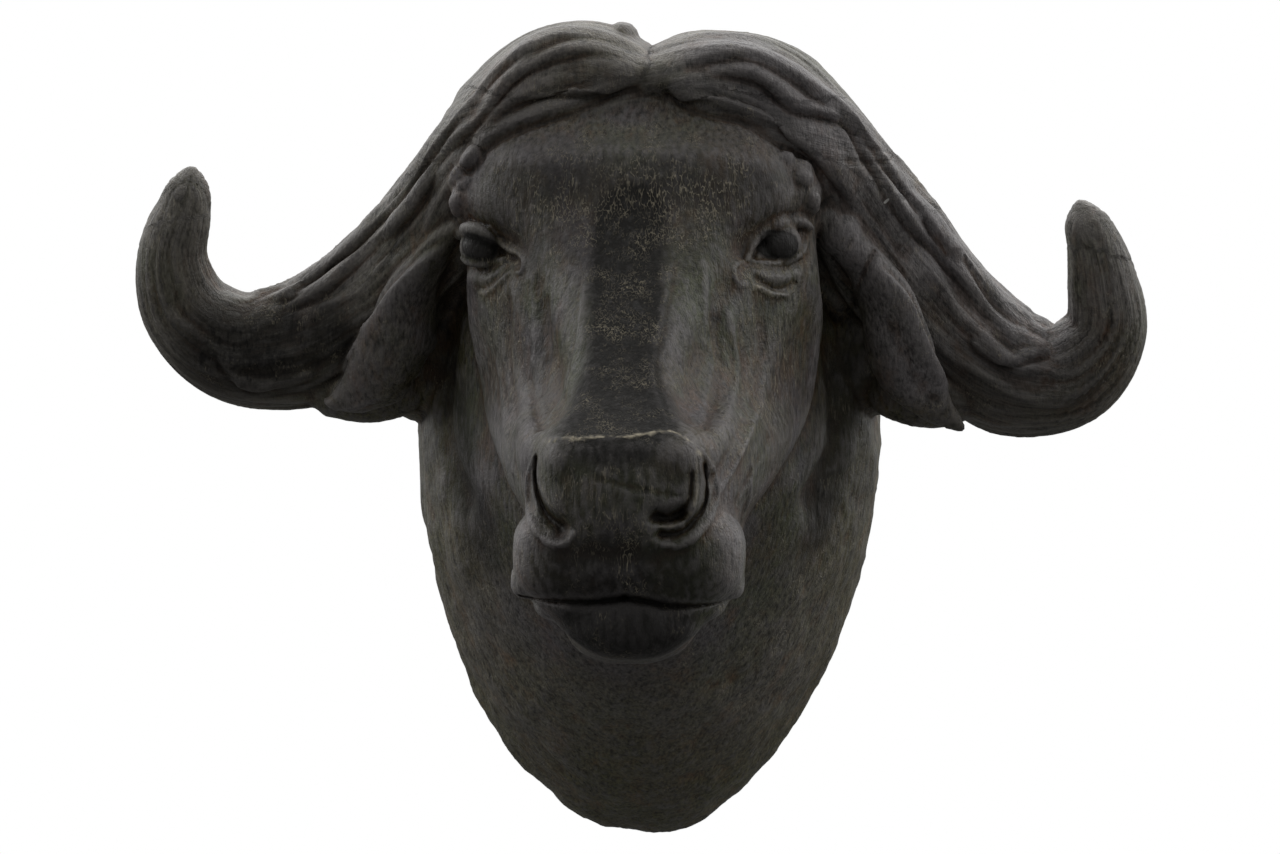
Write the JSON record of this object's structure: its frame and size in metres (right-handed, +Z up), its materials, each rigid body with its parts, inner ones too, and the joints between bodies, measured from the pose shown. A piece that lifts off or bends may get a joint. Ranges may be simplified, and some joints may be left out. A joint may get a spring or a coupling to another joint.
{
  "type": "buffalo head wall sculpture",
  "caption": "Life-size cast buffalo head with swept, hooked horns and drooping ears on a tapering neck, made to hang on a wall by its flat back.",
  "frame": {"origin": "on the flat back where it meets the wall, on the head's middle line, level with the middle of the casting's height", "axes": "+Z up, +Y into the wall out of the flat back, the face looks along -Y, +X to the viewer's right"},
  "size_m": [1.0257, 0.6034, 0.8386],
  "materials": {
    "bronze_patina": "semi-matte dark bronze-look patina on cast resin, olive and rust tints, rubbed tan on raised grain"
  },
  "bodies": {
    "root": {"buffalo_head": "bronze_patina"}
  },
  "joints": []
}
